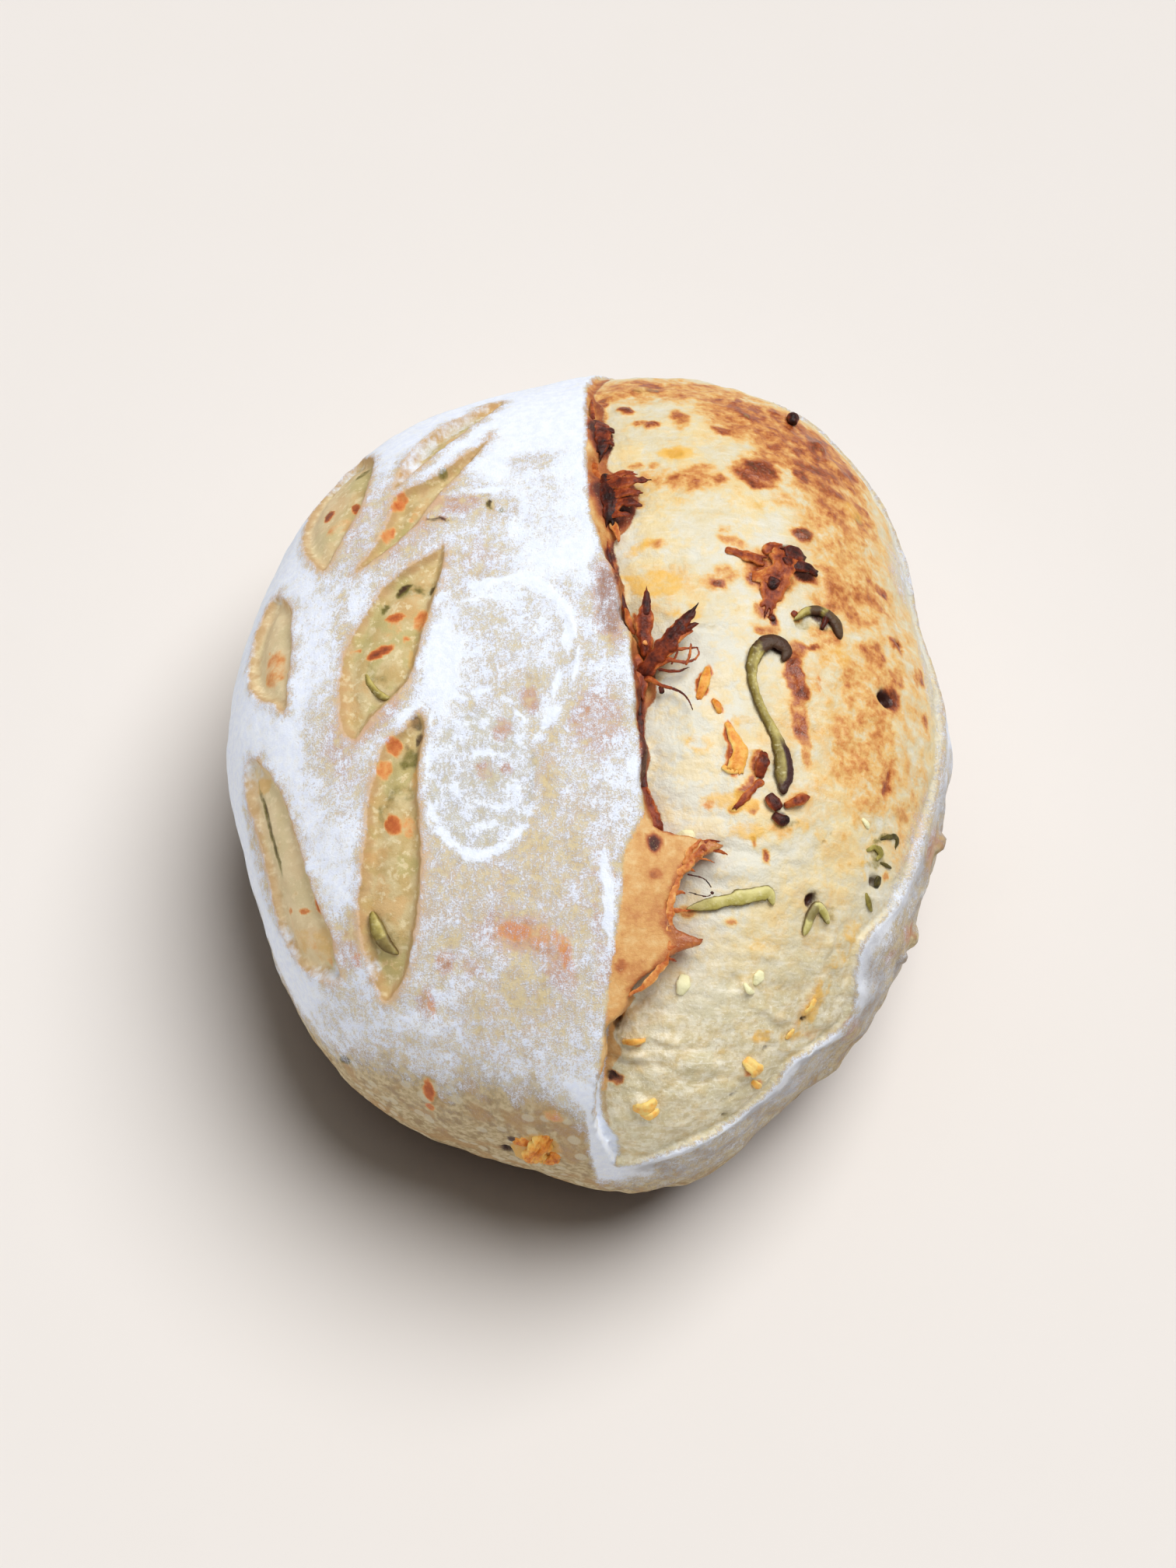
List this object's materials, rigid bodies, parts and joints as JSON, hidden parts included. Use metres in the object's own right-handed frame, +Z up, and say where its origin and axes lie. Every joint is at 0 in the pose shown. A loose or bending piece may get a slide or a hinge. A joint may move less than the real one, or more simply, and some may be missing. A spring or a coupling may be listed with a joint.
{
  "type": "sourdough loaf",
  "caption": "Round floured sourdough loaf with leaf-shaped cuts on one side, a long open cut with a lifted, charred ear, and strips of green pepper and melted cheese in the bare crumb.",
  "frame": {"origin": "middle of the flat underside", "axes": "+Z up from the underside to the crown, +Y along the long cut towards its far end, +X from the floured side towards the bare crumb"},
  "size_m": [0.1848, 0.2187, 0.1122],
  "materials": {
    "crust": "matte, floured",
    "pepper": "satin, roasted"
  },
  "bodies": {
    "root": {"loaf": "crust", "pepper_long": "pepper", "pepper_curl": "pepper", "pepper_flat": "pepper", "pepper_fold": "pepper", "pepper_leaf": "pepper", "pepper_low": "pepper"}
  },
  "joints": []
}
